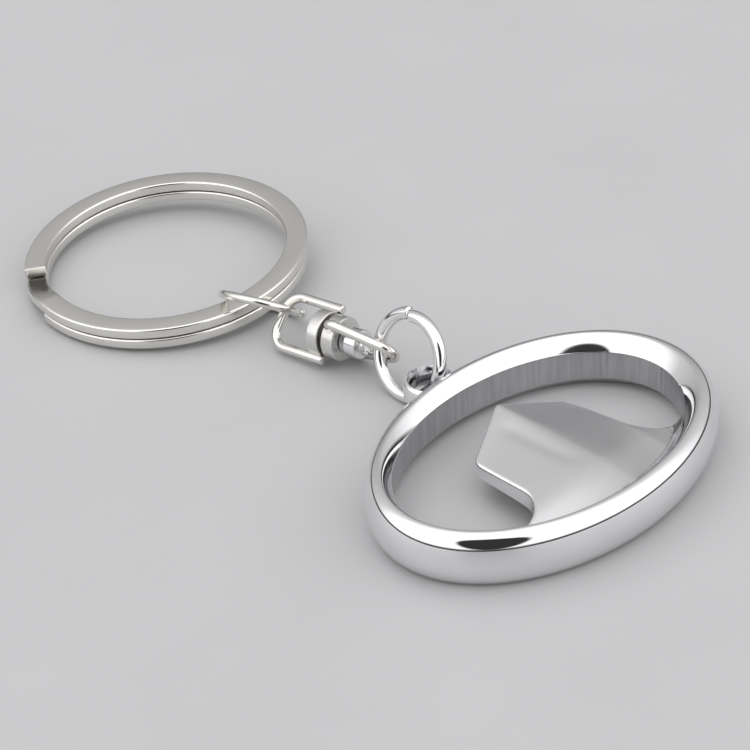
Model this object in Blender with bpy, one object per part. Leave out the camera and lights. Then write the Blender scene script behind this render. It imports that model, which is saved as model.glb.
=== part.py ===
"""Keychain bottle opener.

A cast oval opener carries a gabled lifting tongue and an eyelet. An open jump ring joins the
eyelet to a barrel swivel, and a small link joins the swivel to a flat-wire split ring.

Lengths are in metres, +Z is up, and z = 0 is the table that the keychain lies on. The origin
is where the rim rests on the table behind the tongue's root. The opener's own frame has x along
the oval, y towards the eyelet, and its origin at the oval's centre. The swivel's own frame has x
along the swivel's axis, away from the split ring.
"""

import math

import bmesh
import bpy
from mathutils import Matrix, Vector

MM = 0.001

# Opener casting
OPENER_TURN = math.radians(42.8)
OVAL_CENTRE = 12.17 * MM
RIM_LENGTH = 38.6 * MM
RIM_WIDTH = 26.8 * MM
RIM_HEIGHT = 5.7 * MM
OPENING_LENGTH = 32.2 * MM
OPENING_WIDTH = 21.2 * MM
OPENING_SHIFT = -0.5 * MM
CREASE_HEIGHT = 4.35 * MM
RIM_STEPS = 72
TONGUE_TIP = 5.9 * MM
TONGUE_SHOULDER = 2.8 * MM
TONGUE_WIDTH = 13.2 * MM
TONGUE_WAIST = -3.3 * MM
TONGUE_ROOT_WIDTH = 21.0 * MM
TONGUE_RIDGE_HEIGHT = 5.2 * MM
TONGUE_EDGE_HEIGHT = 3.6 * MM
TONGUE_BOTTOM = 2.2 * MM
EYELET_REACH = 14.5 * MM
EYELET_RADIUS = 2.6 * MM
EYELET_HOLE = 1.75 * MM
EYELET_BOTTOM = 1.9 * MM
EYELET_TOP = 4.3 * MM

# Jump ring through the eyelet
JUMP_RING_CENTRE = Vector((-19.86, 23.27, 4.47)) * MM
JUMP_RING_NORMAL = Vector((-0.708, -0.623, 0.332))
JUMP_RING_RADIUS = 4.07 * MM
JUMP_RING_WIRE = 0.65 * MM
JUMP_RING_CUT_SIDE = Vector((0.0, 0.3, 1.0))

# Swivel: a bail, an eye and the rivet between them
SWIVEL_BOW = Vector((-32.33, 34.16, 2.62)) * MM
SWIVEL_HEADING = math.radians(-40.2)
SWIVEL_PITCH = math.radians(4.1)
BAIL_ROLL = math.radians(43.2)
EYE_ROLL = math.radians(123.3)
SWIVEL_WIRE = 0.5 * MM
BAIL_HALF_WIDTH = 2.7 * MM
BAIL_CORNER = 1.7 * MM
BAIL_LENGTH = 6.8 * MM
BAIL_COLLAR_START = 5.1 * MM
BAIL_COLLAR_END = 6.5 * MM
BAIL_COLLAR_RADIUS = 2.4 * MM
EYE_COLLAR_START = 6.9 * MM
EYE_COLLAR_END = 8.4 * MM
EYE_COLLAR_RADIUS = 2.25 * MM
EYE_HALF_WIDTH = 3.05 * MM
EYE_TIP = 14.42 * MM
EYE_TIP_RADIUS = 1.35 * MM
EYE_BEND = 0.75 * MM
EYE_WIRE_DEPTH = 0.55 * MM
RIVET_SHANK = 0.75 * MM
RIVET_HEAD_START = 8.5 * MM
RIVET_NECK_END = 9.2 * MM
RIVET_HEAD_END = 10.6 * MM
RIVET_HEAD_RADIUS = 1.5 * MM
RIVET_TAIL = 4.75 * MM
RUNNING_CLEARANCE = 0.05 * MM
FACE_GAP = 0.05 * MM

# Link between the swivel's bail and the split ring
LINK_CENTRE = Vector((-34.27, 36.62, 3.02)) * MM
LINK_NORMAL = Vector((0.302, 0.536, 0.788))
LINK_RADIUS = 4.17 * MM
LINK_WIRE = 0.44 * MM
LINK_CUT_SIDE = Vector((1.0, -0.5, 0.0))

# Split ring
SPLIT_RING_CENTRE = Vector((-44.47, 48.35, 2.25)) * MM
SPLIT_RING_NORMAL = Vector((-0.044, -0.032, 1.0))
SPLIT_RING_RADIUS = 15.1 * MM
SPLIT_WIRE_WIDTH = 2.3 * MM
SPLIT_WIRE_THICKNESS = 1.12 * MM
SPLIT_COIL_PITCH = 1.24 * MM
SPLIT_WIRE_CHAMFER = 0.22 * MM
SPLIT_LOWER_END = math.radians(213)
SPLIT_UPPER_END = math.radians(186)
SPLIT_STEPS_PER_TURN = 60

WIRE_CUT = 0.2 * MM
WIRE_OFFSET = 0.28 * MM
WIRE_SIDES = 12
RING_STEPS = 56

CHROME = (0.80, 0.80, 0.81)
NICKEL = (0.66, 0.65, 0.62)
BRUSHED_NICKEL = (0.58, 0.58, 0.57)


def clear_scene():
    """Remove every object the file opened with."""
    for old in list(bpy.data.objects):
        bpy.data.objects.remove(old, do_unlink=True)


def metal(name, colour, roughness):
    """A plated metal."""
    material = bpy.data.materials.new(name)
    material.use_nodes = True
    shader = material.node_tree.nodes["Principled BSDF"]
    shader.inputs["Base Color"].default_value = (*colour, 1.0)
    shader.inputs["Roughness"].default_value = roughness
    shader.inputs["Metallic"].default_value = 1.0
    return material


def frame_from(z_axis, x_hint, origin):
    """A frame at origin with the given z axis and x as near to x_hint as it can be."""
    z_axis = z_axis.normalized()
    x_axis = (x_hint - z_axis * x_hint.dot(z_axis)).normalized()
    y_axis = z_axis.cross(x_axis)
    turn = Matrix((x_axis, y_axis, z_axis)).transposed().to_4x4()
    return Matrix.Translation(origin) @ turn


def swivel_frame(roll):
    """A frame on the swivel: x along its axis, y across a loop that is rolled about the axis."""
    turn = Matrix.Rotation(SWIVEL_HEADING, 4, "Z") @ Matrix.Rotation(-SWIVEL_PITCH, 4, "Y")
    return Matrix.Translation(SWIVEL_BOW) @ turn @ Matrix.Rotation(roll, 4, "X")


def place(obj, frame):
    """Put an object in the scene at a frame."""
    bpy.context.scene.collection.objects.link(obj)
    obj.matrix_world = frame
    return obj


def mesh_object(name, bm, material, frame):
    """Turn a bmesh into a smooth-shaded object at a frame."""
    bmesh.ops.recalc_face_normals(bm, faces=bm.faces[:])
    mesh = bpy.data.meshes.new(name)
    bm.to_mesh(mesh)
    bm.free()
    mesh.materials.append(material)
    mesh.shade_smooth()
    mesh.set_sharp_from_angle(angle=math.radians(35))
    return place(bpy.data.objects.new(name, mesh), frame)


def wire_object(name, points, radius, material, frame):
    """Bend a round wire along points, with its two ends cut square."""
    curve = bpy.data.curves.new(name, "CURVE")
    curve.dimensions = "3D"
    curve.bevel_depth = radius
    curve.bevel_resolution = WIRE_SIDES // 4 - 1
    curve.use_fill_caps = True
    spline = curve.splines.new("POLY")
    spline.points.add(len(points) - 1)
    for slot, point in zip(spline.points, points):
        slot.co = (*point, 1.0)
    curve.materials.append(material)
    return place(bpy.data.objects.new(name, curve), frame)


def sweep(sections, closed):
    """Skin a row of equal sections. An open row gets flat ends."""
    bm = bmesh.new()
    rows = [[bm.verts.new(point) for point in section] for section in sections]
    count = len(rows[0])
    pairs = list(zip(rows, rows[1:]))
    if closed:
        pairs.append((rows[-1], rows[0]))
    for row, following in pairs:
        for i in range(count):
            j = (i + 1) % count
            bm.faces.new((row[i], row[j], following[j], following[i]))
    if not closed:
        bm.faces.new(rows[0])
        bm.faces.new(rows[-1])
    return bm


def arc(centre, radius, start, end, steps):
    """Points of a plane arc, from one angle to another."""
    angles = [start + (end - start) * i / steps for i in range(steps + 1)]
    return [centre + radius * Vector((math.cos(a), math.sin(a), 0.0)) for a in angles]


def carve(target, cutter, operation):
    """Combine a target with a hidden helper object by an exact Boolean."""
    cutter.hide_render = True
    cutter.display_type = "WIRE"
    step = target.modifiers.new(operation.lower(), "BOOLEAN")
    step.operation = operation
    step.object = cutter
    step.solver = "EXACT"


def turned(name, profile, material, frame, steps=32):
    """A turned piece: (along, radius) pairs spun about the frame's x axis."""
    sections = []
    for i in range(steps):
        angle = 2 * math.pi * (i + 0.37) / steps
        across = Vector((0.0, math.cos(angle), math.sin(angle)))
        sections.append([Vector((along, 0.0, 0.0)) + across * radius for along, radius in profile])
    return mesh_object(name, sweep(sections, True), material, frame)


def solid_turned(name, profile, material, frame, steps=32):
    """A turned piece without a bore: its two ends close to a flat face."""
    sections = []
    for along, radius in profile:
        ring = []
        for i in range(steps):
            angle = 2 * math.pi * i / steps
            ring.append(Vector((along, radius * math.cos(angle), radius * math.sin(angle))))
        sections.append(ring)
    return mesh_object(name, sweep(sections, False), material, frame)


def rod(name, start, end, material, frame):
    """A cutter for a wire's seat, as long as from start to end on the frame's x axis."""
    radius = SWIVEL_WIRE + FACE_GAP
    return solid_turned(name, [(start, radius), (end, radius)], material, frame, steps=16)


def rim_section(angle):
    """The rim's section where its oval is cut at an angle, as points from the inner wall out."""
    outer = Vector((math.cos(angle) * RIM_LENGTH / 2, math.sin(angle) * RIM_WIDTH / 2, 0.0))
    inner = Vector((math.cos(angle) * OPENING_LENGTH / 2, math.sin(angle) * OPENING_WIDTH / 2, 0.0))
    inner.x += OPENING_SHIFT
    half = RIM_HEIGHT / 2
    crease = CREASE_HEIGHT - half
    shoulder = [(0.62, 0.94 * half), (0.80, 0.76 * half), (0.93, 0.48 * half), (1.0, 0.0)]
    upper = [(0.0, crease), (0.22, 0.83 * half), (0.42, half), *shoulder]
    foot = [(0.80, -0.76 * half), (0.64, -half), (0.42, -half), (0.22, -0.83 * half), (0.0, -crease)]
    profile = [*upper, (0.93, -0.48 * half), *foot]
    return [inner.lerp(outer, across) + Vector((0, 0, half + height)) for across, height in profile]


def build_rim(material, frame):
    """The oval rim: an upright inner wall, a sharp crease and a rounded crest."""
    angles = [2 * math.pi * i / RIM_STEPS for i in range(RIM_STEPS)]
    return mesh_object("opener", sweep([rim_section(a) for a in angles], True), material, frame)


def tongue_outline():
    """Half of the tongue's outline, from its tip round one shoulder to its root inside the rim."""
    half_width = TONGUE_WIDTH / 2
    waist = half_width + 0.25 * MM
    outline = [
        (0.93 * half_width, TONGUE_SHOULDER + 0.35 * MM),
        (half_width, TONGUE_SHOULDER - 0.45 * MM),
        (waist, TONGUE_WAIST),
    ]
    flare = TONGUE_ROOT_WIDTH / 2 - waist
    for share in (0.25, 0.5, 0.75, 1.0):
        drop = 3.3 * MM * math.sin(share * math.pi / 2)
        outline.append((waist + flare * share**2, TONGUE_WAIST - drop))
    outline.append((waist + flare + 1.2 * MM, TONGUE_WAIST - 4.0 * MM))
    outline.append((waist + 1.4 * MM, TONGUE_WAIST - 6.6 * MM))
    outline.append((0.68 * half_width, TONGUE_WAIST - 8.3 * MM))
    return outline


def build_tongue(material, frame):
    """The lifting tongue: a flat underside, and a roof with its ridge on the centre line."""
    bm = bmesh.new()
    outline = tongue_outline()
    tip = bm.verts.new((0.0, TONGUE_TIP, TONGUE_RIDGE_HEIGHT))
    tip_under = bm.verts.new((0.0, TONGUE_TIP, TONGUE_BOTTOM))
    ridge = [bm.verts.new((0.0, y, TONGUE_RIDGE_HEIGHT)) for x, y in outline]
    keel = [bm.verts.new((0.0, y, TONGUE_BOTTOM)) for x, y in outline]
    for side in (-1, 1):
        top = [bm.verts.new((side * x, y, TONGUE_EDGE_HEIGHT)) for x, y in outline]
        under = [bm.verts.new((side * x, y, TONGUE_BOTTOM)) for x, y in outline]
        bm.faces.new((tip, top[0], ridge[0]))
        bm.faces.new((tip_under, under[0], keel[0]))
        bm.faces.new((tip, top[0], under[0], tip_under))
        for i in range(len(outline) - 1):
            bm.faces.new((ridge[i], top[i], top[i + 1], ridge[i + 1]))
            bm.faces.new((keel[i], under[i], under[i + 1], keel[i + 1]))
            bm.faces.new((top[i], under[i], under[i + 1], top[i + 1]))
        bm.faces.new((ridge[-1], top[-1], under[-1], keel[-1]))
    return mesh_object("tongue_form", bm, material, frame)


def build_eyelet(material, frame):
    """The eyelet's lug, sunk into the rim, and the hole that goes through both."""
    middle = (EYELET_TOP + EYELET_BOTTOM) / 2
    at = frame @ Matrix.Translation((0.0, EYELET_REACH, middle)) @ Matrix.Rotation(math.pi / 2, 4, "Y")
    half = (EYELET_TOP - EYELET_BOTTOM) / 2
    bevel = 0.35 * MM
    profile = [
        (-half, EYELET_RADIUS - bevel),
        (-half + bevel, EYELET_RADIUS),
        (half - bevel, EYELET_RADIUS),
        (half, EYELET_RADIUS - bevel),
    ]
    lug = solid_turned("eyelet_form", profile, material, at)
    flare = 0.5 * MM
    hole = [
        (-half - flare, EYELET_HOLE + 2 * flare),
        (flare - half, EYELET_HOLE),
        (half - flare, EYELET_HOLE),
        (half + flare, EYELET_HOLE + 2 * flare),
    ]
    return lug, solid_turned("eyelet_hole", hole, material, at)


def build_opener():
    """The casting: rim, tongue and eyelet lug in one body."""
    chrome = metal("chrome_casting", CHROME, 0.06)
    frame = Matrix.Rotation(OPENER_TURN, 4, "Z") @ Matrix.Translation((0.0, OVAL_CENTRE, 0.0))
    rim = build_rim(chrome, frame)
    lug, hole = build_eyelet(chrome, frame)
    carve(rim, build_tongue(chrome, frame), "UNION")
    carve(rim, lug, "UNION")
    carve(rim, hole, "DIFFERENCE")


def cut_ring(name, radius, wire, cut_side, normal, centre, material):
    """A round wire ring with one cut, where one end springs outwards and the other inwards."""
    frame = frame_from(normal, cut_side, centre)
    gap = WIRE_CUT / radius
    points = []
    for i in range(RING_STEPS + 1):
        share = i / RING_STEPS
        angle = gap / 2 + (2 * math.pi - gap) * share
        out = radius + WIRE_OFFSET / 2 * (1 - 2 * share) ** 5
        points.append(Vector((out * math.cos(angle), out * math.sin(angle), 0.0)))
    return wire_object(name, points, wire, material, frame)


def build_bail():
    """The swivel's bail: a U of wire whose legs are set in a collar's sides."""
    frame = swivel_frame(BAIL_ROLL)
    nickel = metal("nickel_bail", NICKEL, 0.16)
    satin = metal("satin_bail_collar", BRUSHED_NICKEL, 0.3)
    corner = BAIL_HALF_WIDTH - BAIL_CORNER
    upper = arc(Vector((BAIL_CORNER, corner, 0)), BAIL_CORNER, math.pi / 2, math.pi, 7)
    lower = arc(Vector((BAIL_CORNER, -corner, 0)), BAIL_CORNER, math.pi, 1.5 * math.pi, 7)
    leg = Vector((BAIL_LENGTH, BAIL_HALF_WIDTH, 0))
    points = [leg, *upper, *lower, Vector((leg.x, -leg.y, 0))]
    wire_object("bail_wire", points, SWIVEL_WIRE, nickel, frame)
    bore = RIVET_SHANK + RUNNING_CLEARANCE
    edge = 0.15 * MM
    profile = [
        (BAIL_COLLAR_START, bore),
        (BAIL_COLLAR_START, BAIL_COLLAR_RADIUS - edge),
        (BAIL_COLLAR_START + edge, BAIL_COLLAR_RADIUS),
        (BAIL_COLLAR_END - edge, BAIL_COLLAR_RADIUS),
        (BAIL_COLLAR_END, BAIL_COLLAR_RADIUS - edge),
        (BAIL_COLLAR_END, bore),
    ]
    collar = turned("bail_collar", profile, satin, frame)
    for side in (-1, 1):
        at = frame @ Matrix.Translation((0, side * BAIL_HALF_WIDTH, 0))
        groove = rod("leg_groove", BAIL_COLLAR_START - MM, BAIL_COLLAR_END + MM, satin, at)
        carve(collar, groove, "DIFFERENCE")


def eye_points():
    """The eye's wire: out of the collar's side, round a bend, along to the tip and back."""
    collar_middle = (EYE_COLLAR_START + EYE_COLLAR_END) / 2
    tip_centre = EYE_TIP - EYE_TIP_RADIUS
    start = Vector((collar_middle + EYE_BEND, EYE_HALF_WIDTH - EYE_BEND, 0))
    to_tip = Vector((tip_centre, 0, 0)) - start
    lean = math.atan2(start.y, to_tip.x)
    turn = math.asin((EYE_TIP_RADIUS - EYE_BEND) / to_tip.length)
    tangent = math.pi / 2 - lean + turn
    bend = arc(start, EYE_BEND, math.pi, tangent, 6)
    nose = arc(Vector((tip_centre, 0, 0)), EYE_TIP_RADIUS, tangent, -tangent, 16)
    inner = Vector((collar_middle, EYE_COLLAR_RADIUS - EYE_WIRE_DEPTH, 0))
    half = [inner, *bend]
    mirrored = [Vector((p.x, -p.y, 0)) for p in reversed(half)]
    return half + nose + mirrored


def build_eye():
    """The swivel's eye: a pointed loop of wire whose bent ends are set in a collar."""
    frame = swivel_frame(EYE_ROLL)
    nickel = metal("nickel_eye", NICKEL, 0.14)
    satin = metal("satin_eye_collar", BRUSHED_NICKEL, 0.28)
    points = eye_points()
    wire_object("eye_wire", points, SWIVEL_WIRE, nickel, frame)
    bore = RIVET_SHANK + RUNNING_CLEARANCE
    edge = 0.15 * MM
    profile = [
        (EYE_COLLAR_START, bore),
        (EYE_COLLAR_START, EYE_COLLAR_RADIUS - edge),
        (EYE_COLLAR_START + edge, EYE_COLLAR_RADIUS),
        (EYE_COLLAR_END - edge, EYE_COLLAR_RADIUS),
        (EYE_COLLAR_END, EYE_COLLAR_RADIUS - edge),
        (EYE_COLLAR_END, bore),
    ]
    collar = turned("eye_collar", profile, satin, frame)
    middle = (EYE_COLLAR_START + EYE_COLLAR_END) / 2
    for side in (-1, 1):
        outwards = Matrix.Rotation(side * math.pi / 2, 4, "Z")
        at = frame @ Matrix.Translation((middle, 0, 0)) @ outwards
        depth = EYE_COLLAR_RADIUS - EYE_WIRE_DEPTH - FACE_GAP
        socket = rod("wire_socket", depth, EYE_COLLAR_RADIUS + MM, satin, at)
        carve(collar, socket, "DIFFERENCE")


def build_rivet():
    """The rivet: a stepped head inside the eye, a shank, and a tail peened inside the bail."""
    steel = metal("steel_rivet", CHROME, 0.12)
    tail_gap = 0.1 * MM
    profile = [
        (RIVET_TAIL - 0.15 * MM, 0.5 * RIVET_SHANK),
        (RIVET_TAIL, 1.45 * RIVET_SHANK),
        (BAIL_COLLAR_START - tail_gap, 1.6 * RIVET_SHANK),
        (BAIL_COLLAR_START - tail_gap, RIVET_SHANK),
        (RIVET_HEAD_START, RIVET_SHANK),
        (RIVET_HEAD_START, 0.86 * RIVET_HEAD_RADIUS),
        (RIVET_NECK_END, 0.86 * RIVET_HEAD_RADIUS),
        (RIVET_NECK_END, RIVET_HEAD_RADIUS),
        (RIVET_HEAD_END - 0.3 * MM, RIVET_HEAD_RADIUS),
        (RIVET_HEAD_END, 0.75 * RIVET_HEAD_RADIUS),
        (RIVET_HEAD_END, 0.45 * RIVET_HEAD_RADIUS),
        (RIVET_HEAD_END + 0.4 * MM, 0.4 * RIVET_HEAD_RADIUS),
    ]
    solid_turned("swivel_rivet", profile, steel, swivel_frame(BAIL_ROLL), steps=24)


def split_wire_section(angle, height):
    """The flat wire's section at an angle round the split ring, with its corners taken off."""
    out = Vector((math.cos(angle), math.sin(angle), 0.0))
    middle = SPLIT_RING_RADIUS - SPLIT_WIRE_WIDTH / 2
    wide = SPLIT_WIRE_WIDTH / 2
    tall = SPLIT_WIRE_THICKNESS / 2
    cut = SPLIT_WIRE_CHAMFER
    corners = [
        (wide, tall - cut), (wide - cut, tall), (cut - wide, tall), (-wide, tall - cut),
        (-wide, cut - tall), (cut - wide, -tall), (wide - cut, -tall), (wide, cut - tall),
    ]
    return [out * (middle + across) + Vector((0, 0, height + up)) for across, up in corners]


def build_split_ring():
    """The split ring: nearly two turns of flat wire that step from the lower coil to the upper."""
    frame = frame_from(SPLIT_RING_NORMAL, Vector((1, 0, 0)), SPLIT_RING_CENTRE)
    total = SPLIT_UPPER_END + 4 * math.pi - SPLIT_LOWER_END
    rise_start = SPLIT_UPPER_END + 2 * math.pi + math.radians(2.5)
    rise_end = SPLIT_LOWER_END + 2 * math.pi - math.radians(1.0)
    steps = round(total / (2 * math.pi) * SPLIT_STEPS_PER_TURN)
    sections = []
    for i in range(steps + 1):
        angle = SPLIT_LOWER_END + total * i / steps
        share = min(1.0, max(0.0, (angle - rise_start) / (rise_end - rise_start)))
        eased = share * share * (3 - 2 * share)
        sections.append(split_wire_section(angle, SPLIT_COIL_PITCH * (eased - 0.5)))
    mesh_object("split_ring", sweep(sections, False), metal("nickel_split_ring", NICKEL, 0.2), frame)


clear_scene()
build_opener()
cut_ring("jump_ring", JUMP_RING_RADIUS, JUMP_RING_WIRE, JUMP_RING_CUT_SIDE, JUMP_RING_NORMAL,
         JUMP_RING_CENTRE, metal("chrome_jump_ring", CHROME, 0.1))
build_eye()
build_rivet()
build_bail()
cut_ring("link_ring", LINK_RADIUS, LINK_WIRE, LINK_CUT_SIDE, LINK_NORMAL, LINK_CENTRE,
         metal("nickel_link", NICKEL, 0.12))
build_split_ring()
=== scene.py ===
"""The looks of the keychain bottle opener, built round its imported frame.

Every piece is a finer mesh of the same shape as the CAD node it stands for, in a frame of its
own: the opener's frame has x along the oval and y towards the eyelet, the swivel's frame has
x along its axis, and a ring's frame has z along its axis. Lengths are millimetres times MM.
"""

import math

import bmesh
import bpy
import numpy as np
from mathutils import Matrix, Vector


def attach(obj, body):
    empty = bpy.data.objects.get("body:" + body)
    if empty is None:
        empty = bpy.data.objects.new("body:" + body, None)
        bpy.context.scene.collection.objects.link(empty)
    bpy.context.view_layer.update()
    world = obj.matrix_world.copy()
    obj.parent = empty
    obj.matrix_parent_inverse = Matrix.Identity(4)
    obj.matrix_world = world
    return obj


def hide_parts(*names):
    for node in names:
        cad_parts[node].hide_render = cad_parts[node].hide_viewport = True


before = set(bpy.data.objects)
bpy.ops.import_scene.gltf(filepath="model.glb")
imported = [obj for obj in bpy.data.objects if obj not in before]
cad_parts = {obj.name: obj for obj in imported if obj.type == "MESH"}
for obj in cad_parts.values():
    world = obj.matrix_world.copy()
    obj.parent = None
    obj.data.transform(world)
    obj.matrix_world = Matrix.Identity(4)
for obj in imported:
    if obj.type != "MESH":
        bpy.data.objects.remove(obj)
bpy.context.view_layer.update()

MM = 0.001

# Opener casting
OPENER_TURN = math.radians(42.8)
OVAL_CENTRE = 12.17 * MM
RIM_LENGTH, RIM_WIDTH, RIM_HEIGHT = 38.6 * MM, 26.8 * MM, 5.7 * MM
OPENING_LENGTH, OPENING_WIDTH, OPENING_SHIFT = 32.2 * MM, 21.2 * MM, -0.5 * MM
CREASE_HEIGHT = 4.35 * MM
CREST_ACROSS = 0.42
BEVEL_CURVE = 1.4
TONGUE_TIP = 5.9 * MM
TONGUE_SHOULDER = 2.8 * MM
TONGUE_WIDTH = 13.2 * MM
TONGUE_WAIST = -3.3 * MM
TONGUE_ROOT_WIDTH = 21.0 * MM
TONGUE_ROOT = -11.4 * MM
TONGUE_RIDGE_HEIGHT = 5.2 * MM
TONGUE_EDGE_HEIGHT = 3.6 * MM
TONGUE_BOTTOM = 2.2 * MM
TONGUE_EDGE_ROUND = 0.28 * MM
TONGUE_CORNER = 0.9 * MM
RIDGE_ROUND, RIDGE_FADE = 0.25 * MM, 2.6 * MM
GROOVE_DEPTH, GROOVE_PLACE, GROOVE_WIDTH = 0.10 * MM, -1.7 * MM, 0.75 * MM
HOLLOW_DEPTH = 0.9 * MM
BLEND_START, BLEND_END = -1.5, 0.34
BLEND_LIMIT = 0.4 * MM
UNDER_SKIN = 0.012 * MM
EYELET_REACH = 14.5 * MM
EYELET_RADIUS = 2.6 * MM
EYELET_HOLE = 1.75 * MM
EYELET_BOTTOM, EYELET_TOP = 1.9 * MM, 4.3 * MM
EYELET_EDGE_ROUND = 0.75 * MM
EYELET_FLARE = 0.5 * MM

# Jump ring
JUMP_RING_CENTRE = Vector((-19.86, 23.27, 4.47)) * MM
JUMP_RING_NORMAL = Vector((-0.708, -0.623, 0.332))
JUMP_RING_RADIUS = 4.07 * MM
JUMP_RING_WIRE = 0.65 * MM
JUMP_RING_CUT_SIDE = Vector((0.0, 0.3, 1.0))

# Swivel
SWIVEL_BOW = Vector((-32.33, 34.16, 2.62)) * MM
SWIVEL_HEADING = math.radians(-40.2)
SWIVEL_PITCH = math.radians(4.1)
BAIL_ROLL = math.radians(43.2)
EYE_ROLL = math.radians(123.3)
SWIVEL_WIRE = 0.5 * MM
BAIL_HALF_WIDTH = 2.7 * MM
BAIL_CORNER = 1.7 * MM
BAIL_LENGTH = 6.8 * MM
BAIL_COLLAR_START, BAIL_COLLAR_END, BAIL_COLLAR_RADIUS = 5.1 * MM, 6.5 * MM, 2.4 * MM
EYE_COLLAR_START, EYE_COLLAR_END, EYE_COLLAR_RADIUS = 6.9 * MM, 8.4 * MM, 2.25 * MM
EYE_HALF_WIDTH = 3.05 * MM
EYE_TIP = 14.42 * MM
EYE_TIP_RADIUS = 1.35 * MM
EYE_BEND = 0.75 * MM
EYE_WIRE_DEPTH = 0.55 * MM
RIVET_SHANK = 0.75 * MM
RIVET_HEAD_START, RIVET_NECK_END, RIVET_HEAD_END = 8.5 * MM, 9.2 * MM, 10.6 * MM
RIVET_HEAD_RADIUS = 1.5 * MM
RIVET_TAIL = 4.75 * MM

# Link
LINK_CENTRE = Vector((-34.27, 36.62, 3.02)) * MM
LINK_NORMAL = Vector((0.302, 0.536, 0.788))
LINK_RADIUS = 4.17 * MM
LINK_WIRE = 0.44 * MM
LINK_CUT_SIDE = Vector((1.0, -0.5, 0.0))

# Split ring
SPLIT_RING_CENTRE = Vector((-44.47, 48.35, 2.25)) * MM
SPLIT_RING_NORMAL = Vector((-0.044, -0.032, 1.0))
SPLIT_RING_RADIUS = 15.1 * MM
SPLIT_WIRE_WIDTH = 2.3 * MM
SPLIT_WIRE_THICKNESS = 1.12 * MM
SPLIT_COIL_PITCH = 1.24 * MM
SPLIT_WIRE_ROUND = 0.24 * MM
SPLIT_LOWER_END = math.radians(213)
SPLIT_UPPER_END = math.radians(186)

WIRE_CUT = 0.2 * MM
WIRE_OFFSET = 0.28 * MM
WIRE_SIDES = 36
RING_STEPS = 200
SHARP_ANGLE = math.radians(38)

# Camera and light
VIEW_TARGET = Vector((-23.31, 26.88, 0.0)) * MM
VIEW_ELEVATION = math.radians(34.65)
VIEW_ROLL = math.radians(-3.89)
VIEW_DISTANCE = 225.0 * MM
LENS = 109.09
SENSOR = 36.0
CAMERA_GAP = math.radians(21)
GAP_ELEVATION = math.radians(27)
TENT_BRIGHTNESS = 2.0
STUDIO_CENTRE = Vector((-23.3, 26.9, 0.0)) * MM


# Frames

def frame_from(z_axis, x_hint, origin):
    """A frame at origin with the given z axis and x as near to x_hint as it can be."""
    z_axis = z_axis.normalized()
    x_axis = (x_hint - z_axis * x_hint.dot(z_axis)).normalized()
    y_axis = z_axis.cross(x_axis)
    turn = Matrix((x_axis, y_axis, z_axis)).transposed().to_4x4()
    return Matrix.Translation(origin) @ turn


def opener_frame():
    """The opener's frame: x along the oval, y towards the eyelet, origin at the oval's centre."""
    return Matrix.Rotation(OPENER_TURN, 4, "Z") @ Matrix.Translation((0.0, OVAL_CENTRE, 0.0))


def swivel_frame(roll):
    """A frame on the swivel, rolled about the swivel's axis."""
    turn = Matrix.Rotation(SWIVEL_HEADING, 4, "Z") @ Matrix.Rotation(-SWIVEL_PITCH, 4, "Y")
    return Matrix.Translation(SWIVEL_BOW) @ turn @ Matrix.Rotation(roll, 4, "X")


# Meshes

def smooth(mesh):
    """Shade a mesh smooth, apart from its real edges."""
    mesh.shade_smooth()
    mesh.set_sharp_from_angle(angle=SHARP_ANGLE)


def keep_local(mesh, place):
    """Store each point's place in its piece's own frame, for the materials to follow."""
    if "local" in mesh.attributes:
        mesh.attributes.remove(mesh.attributes["local"])
    local = mesh.attributes.new("local", "FLOAT_VECTOR", "POINT")
    back = place.inverted()
    local.data.foreach_set("vector", [value for v in mesh.vertices for value in back @ v.co])


def add_piece(name, points, faces, materials, place):
    """An object made from points and faces in a frame, which its materials follow."""
    mesh = bpy.data.meshes.new(name)
    mesh.from_pydata([tuple(p) for p in points], [], faces)
    mesh.validate()
    bm = bmesh.new()
    bm.from_mesh(mesh)
    bmesh.ops.recalc_face_normals(bm, faces=bm.faces[:])
    bm.to_mesh(mesh)
    bm.free()
    mesh.transform(place)
    keep_local(mesh, place)
    for material in materials:
        mesh.materials.append(material)
    smooth(mesh)
    obj = bpy.data.objects.new(name, mesh)
    bpy.context.scene.collection.objects.link(obj)
    return obj


def grid_faces(rows, columns, rows_closed, columns_closed):
    """Quads between neighbours of a rows x columns grid of points."""
    faces = []
    for i in range(rows if rows_closed else rows - 1):
        following = (i + 1) % rows
        for j in range(columns if columns_closed else columns - 1):
            beside = (j + 1) % columns
            faces.append((
                i * columns + j, i * columns + beside,
                following * columns + beside, following * columns + j,
            ))
    return faces


def skin(name, sections, rows_closed, materials, place):
    """Skin a row of closed sections. An open row gets flat ends."""
    rows, columns = len(sections), len(sections[0])
    points = np.asarray(sections, float).reshape(-1, 3)
    faces = grid_faces(rows, columns, rows_closed, True)
    if not rows_closed:
        faces.append(tuple(range(columns))[::-1])
        faces.append(tuple((rows - 1) * columns + j for j in range(columns)))
    return add_piece(name, points, faces, materials, place)


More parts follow.
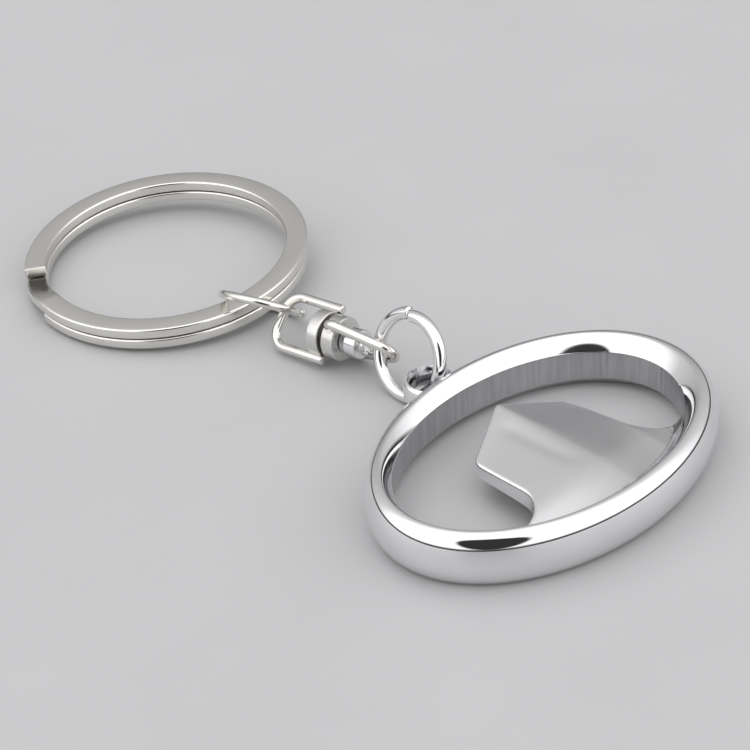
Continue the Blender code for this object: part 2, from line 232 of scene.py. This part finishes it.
def wire_sections(path, radius, end_chamfer):
    """Round sections along a path that lies near its frame's xy plane, with chamfered ends."""
    path = np.asarray(path, float)
    tangent = np.gradient(path, axis=0)
    tangent /= np.linalg.norm(tangent, axis=1)[:, None]
    side = np.cross(tangent, (0.0, 0.0, 1.0))
    side /= np.linalg.norm(side, axis=1)[:, None]
    upward = np.cross(side, tangent)
    angles = 2 * math.pi * np.arange(WIRE_SIDES) / WIRE_SIDES
    circle = side[:, None] * np.cos(angles)[None, :, None]
    circle = circle + upward[:, None] * np.sin(angles)[None, :, None]
    sections = list(path[:, None] + radius * circle)
    for index, way in ((0, -1.0), (-1, 1.0)):
        step = way * end_chamfer * tangent[index]
        end = path[index]
        sections[index] = end - step + radius * circle[index]
        rings = [
            end + (radius - end_chamfer) * circle[index],
            end + 0.35 * step + 0.5 * radius * circle[index],
        ]
        sections = rings[::-1] + sections if index == 0 else sections + rings
    return sections


def wire(name, path, radius, material, place, end_chamfer=0.09 * MM):
    """A round wire bent along a path."""
    return skin(name, wire_sections(path, radius, end_chamfer), False, [material], place)


def arc(centre, radius, start, end, steps):
    """Points of a plane arc, from one angle to another."""
    angles = np.linspace(start, end, steps + 1)
    flat = np.zeros_like(angles)
    return np.array(centre) + radius * np.stack([np.cos(angles), np.sin(angles), flat], axis=1)


def line(start, end, steps):
    """Points along a straight line, without its last point."""
    share = np.linspace(0.0, 1.0, steps + 1)[:-1, None]
    return np.array(start) + share * (np.array(end) - np.array(start))


def rounded(profile, radius, steps=5):
    """A profile whose inner corners are rounded off with short curves."""
    profile = [np.array(p, float) for p in profile]
    out = [profile[0]]
    for before, corner, after in zip(profile, profile[1:], profile[2:]):
        back, on = before - corner, after - corner
        reach = min(radius, 0.45 * np.linalg.norm(back), 0.45 * np.linalg.norm(on))
        start = corner + back / np.linalg.norm(back) * reach
        end = corner + on / np.linalg.norm(on) * reach
        for t in np.linspace(0.0, 1.0, steps + 1):
            out.append((1 - t) ** 2 * start + 2 * t * (1 - t) * corner + t**2 * end)
    out.append(profile[-1])
    return out


def turned(name, profile, material, place, steps=128):
    """A piece turned about its frame's x axis from (along, radius) pairs, closed at its ends."""
    sections = []
    for along, radius in profile:
        angles = 2 * math.pi * np.arange(steps) / steps
        flat = np.full(steps, along)
        sections.append(np.stack([flat, radius * np.cos(angles), radius * np.sin(angles)], axis=1))
    return skin(name, sections, False, [material], place)


def baked(obj):
    """Replace an object's mesh by the result of its modifiers."""
    depsgraph = bpy.context.evaluated_depsgraph_get()
    result = bpy.data.meshes.new_from_object(obj.evaluated_get(depsgraph))
    obj.modifiers.clear()
    obj.data = result
    smooth(result)


def carve(target, cutter, operation):
    """Combine a target with a helper object, and remove the helper."""
    step = target.modifiers.new(operation.lower(), "BOOLEAN")
    step.operation = operation
    step.object = cutter
    step.solver = "EXACT"
    baked(target)
    bpy.data.objects.remove(cutter)


# Materials

def node(tree, kind, **values):
    """Add a shader node and set its inputs or its properties by name."""
    made = tree.nodes.new(kind)
    for key, value in values.items():
        if key in made.inputs:
            made.inputs[key].default_value = value
        else:
            setattr(made, key, value)
    return made


def noise(tree, scale, stretch=(1.0, 1.0, 1.0), detail=3.0):
    """A noise value in the piece's own frame, squeezed along each axis by stretch."""
    place = node(tree, "ShaderNodeAttribute", attribute_name="local")
    mapping = node(tree, "ShaderNodeMapping", Scale=stretch)
    texture = node(tree, "ShaderNodeTexNoise", Scale=scale, Detail=detail)
    tree.links.new(place.outputs["Vector"], mapping.inputs["Vector"])
    tree.links.new(mapping.outputs["Vector"], texture.inputs["Vector"])
    return texture.outputs["Fac"]


def spread(tree, value, low, high, start=0.3, end=0.7):
    """Map a noise value onto a range."""
    ramp = tree.nodes.new("ShaderNodeMapRange")
    ramp.inputs["From Min"].default_value = start
    ramp.inputs["From Max"].default_value = end
    ramp.inputs["To Min"].default_value = low
    ramp.inputs["To Max"].default_value = high
    tree.links.new(value, ramp.inputs["Value"])
    return ramp.outputs["Result"]


def flat_mask(tree):
    """1 where a ring's surface faces along its axis, 0 on its edges."""
    place = tree.nodes.new("ShaderNodeTexCoord")
    split = tree.nodes.new("ShaderNodeSeparateXYZ")
    size = node(tree, "ShaderNodeMath", operation="ABSOLUTE")
    tree.links.new(place.outputs["Normal"], split.inputs["Vector"])
    tree.links.new(split.outputs["Z"], size.inputs[0])
    return spread(tree, size.outputs[0], 0.0, 1.0, 0.93, 0.985)


def plated(name, colour, shine, grain, grain_scale, stretch=(1, 1, 1), relief=0.0, satin=None,
           streaks=False):
    """A plated metal.

    shine is its range of roughness, grain how much its colour varies, and relief the depth of
    its surface marks. satin, if given, is the roughness of a ring's flat faces. With streaks the
    colour varies as finely as the roughness does.
    """
    material = bpy.data.materials.new(name)
    material.use_nodes = True
    tree = material.node_tree
    shader = tree.nodes["Principled BSDF"]
    shader.inputs["Metallic"].default_value = 1.0
    fine = noise(tree, grain_scale, stretch)
    broad = noise(tree, 260.0, detail=2.0)
    tint = node(tree, "ShaderNodeMix", data_type="RGBA")
    tint.inputs[6].default_value = (*[c * (1 - grain) for c in colour], 1.0)
    tint.inputs[7].default_value = (*colour, 1.0)
    tree.links.new(spread(tree, fine if streaks else broad, 0.0, 1.0), tint.inputs[0])
    tree.links.new(tint.outputs[2], shader.inputs["Base Color"])
    roughness = spread(tree, fine, *shine)
    if satin is not None:
        mixed = node(tree, "ShaderNodeMix", data_type="FLOAT")
        tree.links.new(flat_mask(tree), mixed.inputs[0])
        tree.links.new(roughness, mixed.inputs[2])
        tree.links.new(spread(tree, fine, 0.95 * satin, 1.05 * satin), mixed.inputs[3])
        roughness = mixed.outputs[0]
    tree.links.new(roughness, shader.inputs["Roughness"])
    if relief:
        bump = node(tree, "ShaderNodeBump", Strength=1.0, Distance=relief)
        tree.links.new(fine, bump.inputs["Height"])
        tree.links.new(bump.outputs["Normal"], shader.inputs["Normal"])
    return material


CHROME = (0.83, 0.83, 0.835)
# Darker chrome for the filed inner wall and the eyelet hole: the darkness is a painted dark reflection,
# not the metal's own colour.
PAINTED_DARK_REFLECTION_CHROME = (0.52, 0.52, 0.53)
NICKEL = (0.78, 0.765, 0.73)
SATIN_NICKEL = (0.70, 0.69, 0.67)


# Opener

def rim_plan(angle, across):
    """Where the rim's section at an angle is at a share of the way from its inner wall out."""
    long = OPENING_LENGTH / 2 + across * (RIM_LENGTH - OPENING_LENGTH) / 2
    wide = OPENING_WIDTH / 2 + across * (RIM_WIDTH - OPENING_WIDTH) / 2
    return long * np.cos(angle) + OPENING_SHIFT * (1 - across), wide * np.sin(angle)


def rim_across(x, y):
    """The share of the way across the rim of points in plan, by bisection."""
    low, high = np.full_like(x, -3.5), np.full_like(x, 1.3)
    for _ in range(42):
        middle = (low + high) / 2
        long = OPENING_LENGTH / 2 + middle * (RIM_LENGTH - OPENING_LENGTH) / 2
        wide = OPENING_WIDTH / 2 + middle * (RIM_WIDTH - OPENING_WIDTH) / 2
        outside = ((x - OPENING_SHIFT * (1 - middle)) / long) ** 2 + (y / wide) ** 2 > 1
        low, high = np.where(outside, middle, low), np.where(outside, high, middle)
    return (low + high) / 2


def rim_top(across):
    """Height of the rim's top surface at a share of the way across it."""
    half = RIM_HEIGHT / 2
    drop = 1 - (CREASE_HEIGHT - half) / half
    inward = np.clip((CREST_ACROSS - across) / CREST_ACROSS, 0.0, 1.0)
    outward = np.clip((across - CREST_ACROSS) / (1 - CREST_ACROSS), 0.0, 1.0)
    height = half * (1 - drop * inward**BEVEL_CURVE) * np.sqrt(1 - outward**2)
    fall = BEVEL_CURVE * drop * half / CREST_ACROSS
    return half + height + np.minimum(across, 0.0) * fall


def rim_profile():
    """(across, height) pairs round the rim's section, from the upper crease to the lower."""
    inner = np.linspace(0.0, CREST_ACROSS, 15)[:-1]
    outer = CREST_ACROSS + (1 - CREST_ACROSS) * np.sin(np.linspace(0.0, math.pi / 2, 15))
    across = np.concatenate([inner, outer])
    upper = list(zip(across, rim_top(across)))
    lower = [(a, RIM_HEIGHT - h) for a, h in upper[-2::-1]]
    return upper + lower


def build_rim(chrome, filed_painted_dark):
    """The oval rim with its rounded crest, sharp creases and upright, file-marked inner wall, whose
    darker colour is a painted dark reflection.
    """
    profile = rim_profile()
    steps = 288
    sections = []
    for i in range(steps):
        angle = 2 * math.pi * i / steps
        section = []
        for across, height in profile:
            x, y = rim_plan(angle, across)
            section.append((x, y, height))
        wall_top, wall_bottom = np.array(section[0]), np.array(section[-1])
        for share in (0.97, 0.75, 0.5, 0.25, 0.03):
            section.append(tuple(wall_bottom + (1 - share) * (wall_top - wall_bottom)))
        sections.append(section)
    rim = skin("opener_rim", sections, True, [chrome, filed_painted_dark], opener_frame())
    wall = len(profile) - 1
    columns = len(sections[0])
    # The inner wall's faces take the filed chrome, with its painted dark reflection.
    for face in rim.data.polygons:
        if all(v % columns >= wall or v % columns == 0 for v in face.vertices):
            face.material_index = 1
    return rim


def build_eyelet(rim, chrome, filed_painted_dark):
    """Join the eyelet's lug to the rim and cut its hole through both."""
    middle = (EYELET_TOP + EYELET_BOTTOM) / 2
    half = (EYELET_TOP - EYELET_BOTTOM) / 2
    turn = Matrix.Rotation(math.pi / 2, 4, "Y")
    place = opener_frame() @ Matrix.Translation((0.0, EYELET_REACH, middle)) @ turn
    lug = [
        (-half, 0.4 * EYELET_RADIUS), (-half, EYELET_RADIUS),
        (half, EYELET_RADIUS), (half, 0.4 * EYELET_RADIUS),
    ]
    form = turned("eyelet_form", rounded(lug, EYELET_EDGE_ROUND, 9), chrome, place)
    carve(rim, form, "UNION")
    mouth = EYELET_HOLE + 2 * EYELET_FLARE
    hole = [
        (-half - EYELET_FLARE, mouth), (-half + EYELET_FLARE, EYELET_HOLE),
        (half - EYELET_FLARE, EYELET_HOLE), (half + EYELET_FLARE, mouth),
    ]
    # The hole's wall also takes the darker filed chrome, a painted dark reflection.
    cutter = turned("eyelet_hole", rounded(hole, EYELET_FLARE, 7), filed_painted_dark, place)
    carve(rim, cutter, "DIFFERENCE")
    keep_local(rim.data, opener_frame())


def tongue_half_outline():
    """Half of the tongue's outline from tip to root, as (x, y) points with rounded corners."""
    half_width = TONGUE_WIDTH / 2
    waist = half_width + 0.25 * MM
    flare = TONGUE_ROOT_WIDTH / 2 - waist
    points = [(0.0, TONGUE_TIP), (half_width - 0.1 * MM, TONGUE_SHOULDER), (waist, TONGUE_WAIST)]
    for share in np.linspace(0.12, 1.0, 12):
        drop = 3.3 * MM * math.sin(share * math.pi / 2)
        points.append((waist + flare * share**2, TONGUE_WAIST - drop))
    points.append((waist + flare + 1.2 * MM, TONGUE_WAIST - 4.0 * MM))
    points.append((waist + 1.4 * MM, TONGUE_WAIST - 6.6 * MM))
    points.append((0.68 * half_width, TONGUE_ROOT))
    return rounded(points, TONGUE_CORNER, 8)


def smooth_step(value, start, end):
    """0 before start, 1 after end, and a smooth ramp between them."""
    share = np.clip((value - start) / (end - start), 0.0, 1.0)
    return share * share * (3 - 2 * share)


def tongue_top(x, y):
    """Height of the tongue's roof: a ridge that fades where the roof rises into the rim."""
    half_width = TONGUE_WIDTH / 2
    slope = (TONGUE_RIDGE_HEIGHT - TONGUE_EDGE_HEIGHT) / half_width
    crown = RIDGE_ROUND + RIDGE_FADE * smooth_step(-y, -3.0 * MM, 7.5 * MM)
    roof = TONGUE_RIDGE_HEIGHT - slope * (np.sqrt(x**2 + crown**2) - crown)
    along = smooth_step(-y, -4.5 * MM, -2.0 * MM) * (1 - smooth_step(-y, 3.0 * MM, 6.5 * MM))
    roof -= GROOVE_DEPTH * along * np.exp(-(((x - GROOVE_PLACE) / GROOVE_WIDTH) ** 2))
    hollow = np.clip(x / half_width, 0.0, 1.0)
    roof -= HOLLOW_DEPTH * hollow * (1 - hollow) * smooth_step(-y, -3.5 * MM, 5.0 * MM)
    across = rim_across(x, y)
    rim = rim_top(across) - UNDER_SKIN
    rise = smooth_step(across, BLEND_START, BLEND_END)
    return roof + (np.maximum(rim, roof - BLEND_LIMIT) - roof) * rise


def distance_to(outline, x, y):
    """How far each grid point is from a closed outline."""
    starts, runs = outline[:-1], np.diff(outline, axis=0)
    length = np.maximum((runs**2).sum(axis=1), 1e-18)
    spot = np.stack([x.ravel(), y.ravel()], axis=1)
    offset = spot[:, None] - starts[None]
    share = np.clip((offset * runs).sum(axis=2) / length, 0.0, 1.0)
    return np.linalg.norm(offset - share[..., None] * runs, axis=2).min(axis=1).reshape(x.shape)


def slab_faces(rows, columns):
    """Faces of a slab whose points are a grid on top and then the same grid underneath."""
    base = rows * columns
    lid = grid_faces(rows, columns, False, False)
    faces = [face[::-1] for face in lid] + [tuple(base + v for v in face) for face in lid]
    border = list(range(columns))
    border += [i * columns + columns - 1 for i in range(1, rows)]
    border += [(rows - 1) * columns + j for j in range(columns - 2, -1, -1)]
    border += [i * columns for i in range(rows - 2, 0, -1)]
    for a, b in zip(border, border[1:] + border[:1]):
        faces.append((a, b, base + b, base + a))
    return faces


def build_tongue(chrome):
    """The lifting tongue with its rounded edges and a flat underside."""
    half = np.array(tongue_half_outline())
    rows, columns = 200, 44
    depth = TONGUE_TIP - TONGUE_ROOT
    y = TONGUE_TIP - depth * np.linspace(0.02, 1.0, rows) ** 2
    width = np.interp(-y, -half[:, 1], half[:, 0])
    across = 1 - (1 - np.linspace(0.0, 1.0, columns)) ** 2
    across = np.concatenate([-across[:0:-1], across])
    x = width[:, None] * across[None, :]
    y = np.repeat(y[:, None], across.size, axis=1)
    gap = distance_to(np.concatenate([half, half[::-1] * (-1, 1)]), x, y)
    inside = np.clip(TONGUE_EDGE_ROUND - gap, 0.0, TONGUE_EDGE_ROUND)
    drop = TONGUE_EDGE_ROUND - np.sqrt(TONGUE_EDGE_ROUND**2 - inside**2)
    top = np.stack([x, y, tongue_top(x, y) - drop], axis=2)
    under = np.stack([x, y, TONGUE_BOTTOM + 0.4 * drop], axis=2)
    points = np.concatenate([top.reshape(-1, 3), under.reshape(-1, 3)])
    faces = slab_faces(rows, across.size)
    return add_piece("opener_tongue", points, faces, [chrome], opener_frame())


# Rings

def cut_ring(name, radius, thickness, cut_side, normal, centre, material):
    """A round wire ring with one cut, where one end springs outwards and the other inwards."""
    share = np.linspace(0.0, 1.0, RING_STEPS + 1)
    gap = WIRE_CUT / radius
    angle = gap / 2 + (2 * math.pi - gap) * share
    out = radius + WIRE_OFFSET / 2 * (1 - 2 * share) ** 5
    path = np.stack([out * np.cos(angle), out * np.sin(angle), np.zeros_like(out)], axis=1)
    return wire(name, path, thickness, material, frame_from(normal, cut_side, centre))


def split_wire_section(angle, height, grow=1.0):
    """The flat wire's section at an angle round the split ring, with rounded corners."""
    wide = SPLIT_WIRE_WIDTH / 2 * grow
    tall = SPLIT_WIRE_THICKNESS / 2 * grow
    corner = SPLIT_WIRE_ROUND
    points = []
    for quarter, (side, up) in enumerate(((1, 1), (-1, 1), (-1, -1), (1, -1))):
        for step in range(7):
            turn = math.pi / 2 * (quarter + step / 6)
            across = side * (wide - corner) + corner * math.cos(turn)
            rise = up * (tall - corner) + corner * math.sin(turn)
            points.append((across, rise))
    middle = SPLIT_RING_RADIUS - SPLIT_WIRE_WIDTH / 2
    out = np.array((math.cos(angle), math.sin(angle), 0.0))
    return [out * (middle + across) + np.array((0, 0, height + rise)) for across, rise in points]


def build_split_ring(nickel):
    """Nearly two turns of flat wire that step from the lower coil to the upper."""
    place = frame_from(SPLIT_RING_NORMAL, Vector((1, 0, 0)), SPLIT_RING_CENTRE)
    total = SPLIT_UPPER_END + 4 * math.pi - SPLIT_LOWER_END
    rise_start = SPLIT_UPPER_END + 2 * math.pi + math.radians(2.5)
    rise_end = SPLIT_LOWER_END + 2 * math.pi - math.radians(1.0)
    chamfer = 0.08 * MM
    middle = SPLIT_RING_RADIUS - SPLIT_WIRE_WIDTH / 2
    inset = chamfer / middle
    angles = np.concatenate([[0.0], np.linspace(inset, total - inset, 640), [total]])
    sections = []
    for i, turn in enumerate(angles):
        angle = SPLIT_LOWER_END + turn
        share = np.clip((angle - rise_start) / (rise_end - rise_start), 0.0, 1.0)
        eased = 0.5 * share + 0.5 * smooth_step(share, 0.0, 1.0)
        at_end = i in (0, angles.size - 1)
        grow = 1 - 2 * chamfer / SPLIT_WIRE_WIDTH if at_end else 1.0
        sections.append(split_wire_section(angle, SPLIT_COIL_PITCH * (eased - 0.5), grow))
    return skin("split_ring_coil", sections, False, [nickel], place)


# Swivel

def build_bail(nickel, satin):
    """The bail: a U of wire whose legs are set in a satin collar's sides."""
    place = swivel_frame(BAIL_ROLL)
    corner = BAIL_HALF_WIDTH - BAIL_CORNER
    path = np.concatenate([
        line((BAIL_LENGTH, BAIL_HALF_WIDTH, 0), (BAIL_CORNER, BAIL_HALF_WIDTH, 0), 24),
        arc((BAIL_CORNER, corner, 0), BAIL_CORNER, math.pi / 2, math.pi, 24)[:-1],
        line((0, corner, 0), (0, -corner, 0), 10),
        arc((BAIL_CORNER, -corner, 0), BAIL_CORNER, math.pi, 1.5 * math.pi, 24)[:-1],
        line((BAIL_CORNER, -BAIL_HALF_WIDTH, 0), (BAIL_LENGTH, -BAIL_HALF_WIDTH, 0), 24),
        [(BAIL_LENGTH, -BAIL_HALF_WIDTH, 0)],
    ])
    bail = wire("swivel_bail_wire", path, SWIVEL_WIRE, nickel, place)
    bore = RIVET_SHANK + 0.05 * MM
    profile = [
        (BAIL_COLLAR_START + 0.3 * MM, bore),
        (BAIL_COLLAR_START, 1.75 * bore),
        (BAIL_COLLAR_START, BAIL_COLLAR_RADIUS),
        (BAIL_COLLAR_END, BAIL_COLLAR_RADIUS),
        (BAIL_COLLAR_END, 1.3 * bore),
        (BAIL_COLLAR_END - 0.2 * MM, bore),
    ]
    collar = turned("swivel_bail_collar", rounded(profile, 0.16 * MM), satin, place)
    return bail, collar


def eye_path():
    """The eye's wire: out of the collar's side, round a bend, along to the tip and back."""
    collar_middle = (EYE_COLLAR_START + EYE_COLLAR_END) / 2
    tip_centre = EYE_TIP - EYE_TIP_RADIUS
    start = np.array((collar_middle + EYE_BEND, EYE_HALF_WIDTH - EYE_BEND, 0.0))
    to_tip = np.array((tip_centre, 0.0, 0.0)) - start
    lean = math.atan2(start[1], to_tip[0])
    turn = math.asin((EYE_TIP_RADIUS - EYE_BEND) / np.linalg.norm(to_tip))
    tangent = math.pi / 2 - lean + turn
    inner = (collar_middle, EYE_COLLAR_RADIUS - EYE_WIRE_DEPTH, 0.0)
    bend = arc(start, EYE_BEND, math.pi, tangent, 20)
    nose = arc((tip_centre, 0.0, 0.0), EYE_TIP_RADIUS, tangent, -tangent, 60)
    half = np.concatenate([line(inner, bend[0], 4), bend[:-1], line(bend[-1], nose[0], 30)])
    return np.concatenate([half, nose, half[::-1] * (1, -1, 1)])


def build_eye(nickel, satin):
    """The eye: a pointed loop of wire whose bent ends are set in a satin collar."""
    place = swivel_frame(EYE_ROLL)
    eye = wire("swivel_eye_wire", eye_path(), SWIVEL_WIRE, nickel, place)
    bore = RIVET_SHANK + 0.05 * MM
    profile = [
        (EYE_COLLAR_START + 0.2 * MM, bore),
        (EYE_COLLAR_START, 1.3 * bore),
        (EYE_COLLAR_START, EYE_COLLAR_RADIUS),
        (EYE_COLLAR_END, EYE_COLLAR_RADIUS),
        (EYE_COLLAR_END, 1.3 * bore),
        (EYE_COLLAR_END - 0.2 * MM, bore),
    ]
    collar = turned("swivel_eye_collar", rounded(profile, 0.16 * MM), satin, place)
    middle = (EYE_COLLAR_START + EYE_COLLAR_END) / 2
    sunk, proud = EYE_COLLAR_RADIUS - 0.3 * MM, EYE_COLLAR_RADIUS + 0.02 * MM
    seat = [
        (sunk, 0.7 * SWIVEL_WIRE), (sunk, 1.28 * SWIVEL_WIRE),
        (proud, 1.24 * SWIVEL_WIRE), (proud, 0.9 * SWIVEL_WIRE),
    ]
    seats = []
    for side, tag in ((-1, "left"), (1, "right")):
        outwards = Matrix.Rotation(side * math.pi / 2, 4, "Z")
        at = place @ Matrix.Translation((middle, 0, 0)) @ outwards
        seats.append(turned("swivel_eye_seat_" + tag, rounded(seat, 0.06 * MM), nickel, at, 64))
    return eye, collar, seats


def build_rivet(steel):
    """The rivet: a stepped head inside the eye, a shank, and a peened tail inside the bail."""
    profile = [
        (RIVET_TAIL - 0.28 * MM, 0.15 * RIVET_SHANK),
        (RIVET_TAIL - 0.22 * MM, 0.8 * RIVET_SHANK),
        (RIVET_TAIL, 1.45 * RIVET_SHANK),
        (BAIL_COLLAR_START - 0.1 * MM, 1.6 * RIVET_SHANK),
        (BAIL_COLLAR_START - 0.1 * MM, RIVET_SHANK),
        (RIVET_HEAD_START, RIVET_SHANK),
        (RIVET_HEAD_START, 0.86 * RIVET_HEAD_RADIUS),
        (RIVET_NECK_END, 0.86 * RIVET_HEAD_RADIUS),
        (RIVET_NECK_END, RIVET_HEAD_RADIUS),
        (RIVET_HEAD_END, RIVET_HEAD_RADIUS),
        (RIVET_HEAD_END, 0.45 * RIVET_HEAD_RADIUS),
        (RIVET_HEAD_END + 0.4 * MM, 0.42 * RIVET_HEAD_RADIUS),
        (RIVET_HEAD_END + 0.4 * MM, 0.1 * RIVET_HEAD_RADIUS),
    ]
    return turned("swivel_rivet_head", rounded(profile, 0.12 * MM), steel, swivel_frame(BAIL_ROLL))


# Studio

def softbox(name, azimuth, elevation, distance, width, height, brightness):
    """A soft area light that faces the object, set by where it is and how bright it looks."""
    data = bpy.data.lights.new(name, "AREA")
    data.shape = "RECTANGLE"
    data.size, data.size_y = width, height
    data.energy = brightness * math.pi * width * height
    out = Vector((
        math.sin(azimuth) * math.cos(elevation),
        math.cos(azimuth) * math.cos(elevation),
        math.sin(elevation),
    ))
    light = bpy.data.objects.new(name, data)
    bpy.context.scene.collection.objects.link(light)
    light.location = STUDIO_CENTRE + out * distance
    light.rotation_mode = "QUATERNION"
    light.rotation_quaternion = out.to_track_quat("Z", "Y")
    return light


def build_floor():
    """A plain pale floor."""
    material = bpy.data.materials.new("pale_floor")
    material.use_nodes = True
    tree = material.node_tree
    shader = tree.nodes["Principled BSDF"]
    shade = node(tree, "ShaderNodeMix", data_type="RGBA")
    shade.inputs[6].default_value = (0.47, 0.47, 0.475, 1.0)
    shade.inputs[7].default_value = (0.49, 0.49, 0.495, 1.0)
    tree.links.new(spread(tree, noise(tree, 40.0), 0.0, 1.0), shade.inputs[0])
    tree.links.new(shade.outputs[2], shader.inputs["Base Color"])
    shader.inputs["Roughness"].default_value = 0.45
    side = 3.0
    corners = [(-side, -side, 0), (side, -side, 0), (side, side, 0), (-side, side, 0)]
    return add_piece("floor", corners, [(0, 1, 2, 3)], [material], Matrix.Translation(STUDIO_CENTRE))


def tent_colour(tree, direction_y):
    """The tent's brightness from the camera's side, over the top, to the far side."""
    ramp = tree.nodes.new("ShaderNodeValToRGB")
    stops = ramp.color_ramp.elements
    stops[0].color = (0.62, 0.62, 0.63, 1.0)
    stops[1].color = (0.12, 0.12, 0.125, 1.0)
    for position, level in ((0.42, 0.85), (0.56, 0.72), (0.74, 0.37), (0.83, 0.31), (0.92, 0.25)):
        stops.new(position).color = (level, level, 1.01 * level, 1.0)
    tree.links.new(spread(tree, direction_y, 0.0, 1.0, -1.0, 1.0), ramp.inputs["Fac"])
    return ramp.outputs["Color"]


def tent_strength(tree, direction, direction_z):
    """Full in the tent, and faint in the gap for the camera and along the horizon."""
    towards = node(tree, "ShaderNodeVectorMath", operation="DOT_PRODUCT")
    tree.links.new(direction, towards.inputs[0])
    towards.inputs[1].default_value = (0.0, -math.cos(GAP_ELEVATION), math.sin(GAP_ELEVATION))
    inner, outer = math.cos(CAMERA_GAP), math.cos(1.15 * CAMERA_GAP)
    cloth = spread(tree, towards.outputs["Value"], TENT_BRIGHTNESS, 0.03 * TENT_BRIGHTNESS, outer, inner)
    above = spread(tree, direction_z, 0.04, 1.0, 0.06, 0.13)
    strength = node(tree, "ShaderNodeMath", operation="MULTIPLY")
    tree.links.new(cloth, strength.inputs[0])
    tree.links.new(above, strength.inputs[1])
    return strength.outputs[0]


def build_world():
    """A pale backdrop to the eye, and a light tent in reflections."""
    world = bpy.data.worlds.new("studio")
    world.use_nodes = True
    tree = world.node_tree
    tent = tree.nodes["Background"]
    place = tree.nodes.new("ShaderNodeTexCoord")
    direction = place.outputs["Generated"]
    split = tree.nodes.new("ShaderNodeSeparateXYZ")
    tree.links.new(direction, split.inputs["Vector"])
    tree.links.new(tent_colour(tree, split.outputs["Y"]), tent.inputs["Color"])
    strength = tent_strength(tree, direction, split.outputs["Z"])
    tree.links.new(strength, tent.inputs["Strength"])
    backdrop = node(tree, "ShaderNodeBackground", Color=(0.72, 0.72, 0.725, 1.0))
    path = tree.nodes.new("ShaderNodeLightPath")
    mixed = tree.nodes.new("ShaderNodeMixShader")
    tree.links.new(path.outputs["Is Camera Ray"], mixed.inputs[0])
    tree.links.new(tent.outputs[0], mixed.inputs[1])
    tree.links.new(backdrop.outputs[0], mixed.inputs[2])
    tree.links.new(mixed.outputs[0], tree.nodes["World Output"].inputs["Surface"])
    bpy.context.scene.world = world


def build_camera():
    """The camera, turned about its own axis by VIEW_ROLL."""
    backward = Vector((0.0, -math.cos(VIEW_ELEVATION), math.sin(VIEW_ELEVATION)))
    level = Vector((1.0, 0.0, 0.0))
    upward = backward.cross(level)
    right = math.cos(VIEW_ROLL) * level + math.sin(VIEW_ROLL) * upward
    turn = Matrix((right, backward.cross(right), backward)).transposed().to_4x4()
    data = bpy.data.cameras.new("camera")
    data.lens = LENS
    data.sensor_width = SENSOR
    data.clip_start = 0.01
    camera = bpy.data.objects.new("camera", data)
    bpy.context.scene.collection.objects.link(camera)
    camera.matrix_world = Matrix.Translation(VIEW_TARGET + backward * VIEW_DISTANCE) @ turn
    bpy.context.scene.camera = camera


def build_studio():
    """Floor, light tent, camera, and a key light that the metal doesn't mirror."""
    build_floor()
    build_world()
    key = softbox("key", math.radians(-35), math.radians(55), 0.9, 0.45, 0.45, 1.6)
    key.visible_glossy = False
    build_camera()
    bpy.context.scene.view_settings.view_transform = "Standard"


def show(obj, body, slot, *nodes):
    """Let a piece ride on its body and stand for its CAD nodes. The slot argument is not used."""
    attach(obj, body)
    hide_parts(*nodes)


def build_object():
    """Every piece of the keychain."""
    chrome = plated("chrome_polished", CHROME, (0.035, 0.075), 0.04, 900.0)
    # The filed wall's file marks are real texture. Its dark base colour is a painted dark reflection.
    filed_painted_dark = plated("chrome_filed_painted_dark", PAINTED_DARK_REFLECTION_CHROME, (0.06, 0.24), 0.24, 3000.0, (1, 1, 0.05),
                   relief=0.05 * MM, streaks=True)
    roof = plated("chrome_soft", CHROME, (0.10, 0.14), 0.03, 1500.0)
    rim = build_rim(chrome, filed_painted_dark)
    build_eyelet(rim, chrome, filed_painted_dark)
    show(rim, "opener", "chrome_casting", "opener")
    show(build_tongue(roof), "opener", "chrome_casting", "opener")

    bright = plated("jump_ring_chrome", CHROME, (0.05, 0.12), 0.06, 2500.0, relief=0.002 * MM)
    jump_ring = cut_ring("jump_ring_wire", JUMP_RING_RADIUS, JUMP_RING_WIRE, JUMP_RING_CUT_SIDE,
                         JUMP_RING_NORMAL, JUMP_RING_CENTRE, bright)
    show(jump_ring, "jump_ring", "chrome_jump_ring", "jump_ring")

    drawn = plated("drawn_nickel", NICKEL, (0.09, 0.22), 0.08, 3000.0, relief=0.003 * MM)
    satin = plated("satin_nickel", SATIN_NICKEL, (0.26, 0.4), 0.1, 9000.0, relief=0.004 * MM)
    eye, eye_collar, seats = build_eye(drawn, satin)
    show(eye, "swivel_eye", "nickel_eye", "eye_wire")
    show(eye_collar, "swivel_eye", "satin_eye_collar", "eye_collar")
    for seat in seats:
        show(seat, "swivel_eye", "satin_eye_collar", "eye_collar")
    bail, bail_collar = build_bail(drawn, satin)
    show(bail, "swivel_bail", "nickel_bail", "bail_wire")
    show(bail_collar, "swivel_bail", "satin_bail_collar", "bail_collar")
    steel = plated("rivet_steel", CHROME, (0.1, 0.24), 0.1, 4000.0)
    show(build_rivet(steel), "swivel_bail", "steel_rivet", "swivel_rivet")

    link = cut_ring("link_wire", LINK_RADIUS, LINK_WIRE, LINK_CUT_SIDE, LINK_NORMAL, LINK_CENTRE, drawn)
    show(link, "link", "nickel_link", "link_ring")

    flat_nickel = plated("split_ring_nickel", NICKEL, (0.09, 0.13), 0.03, 6000.0, satin=0.24)
    show(build_split_ring(flat_nickel), "split_ring", "nickel_split_ring", "split_ring")


build_object()
build_studio()
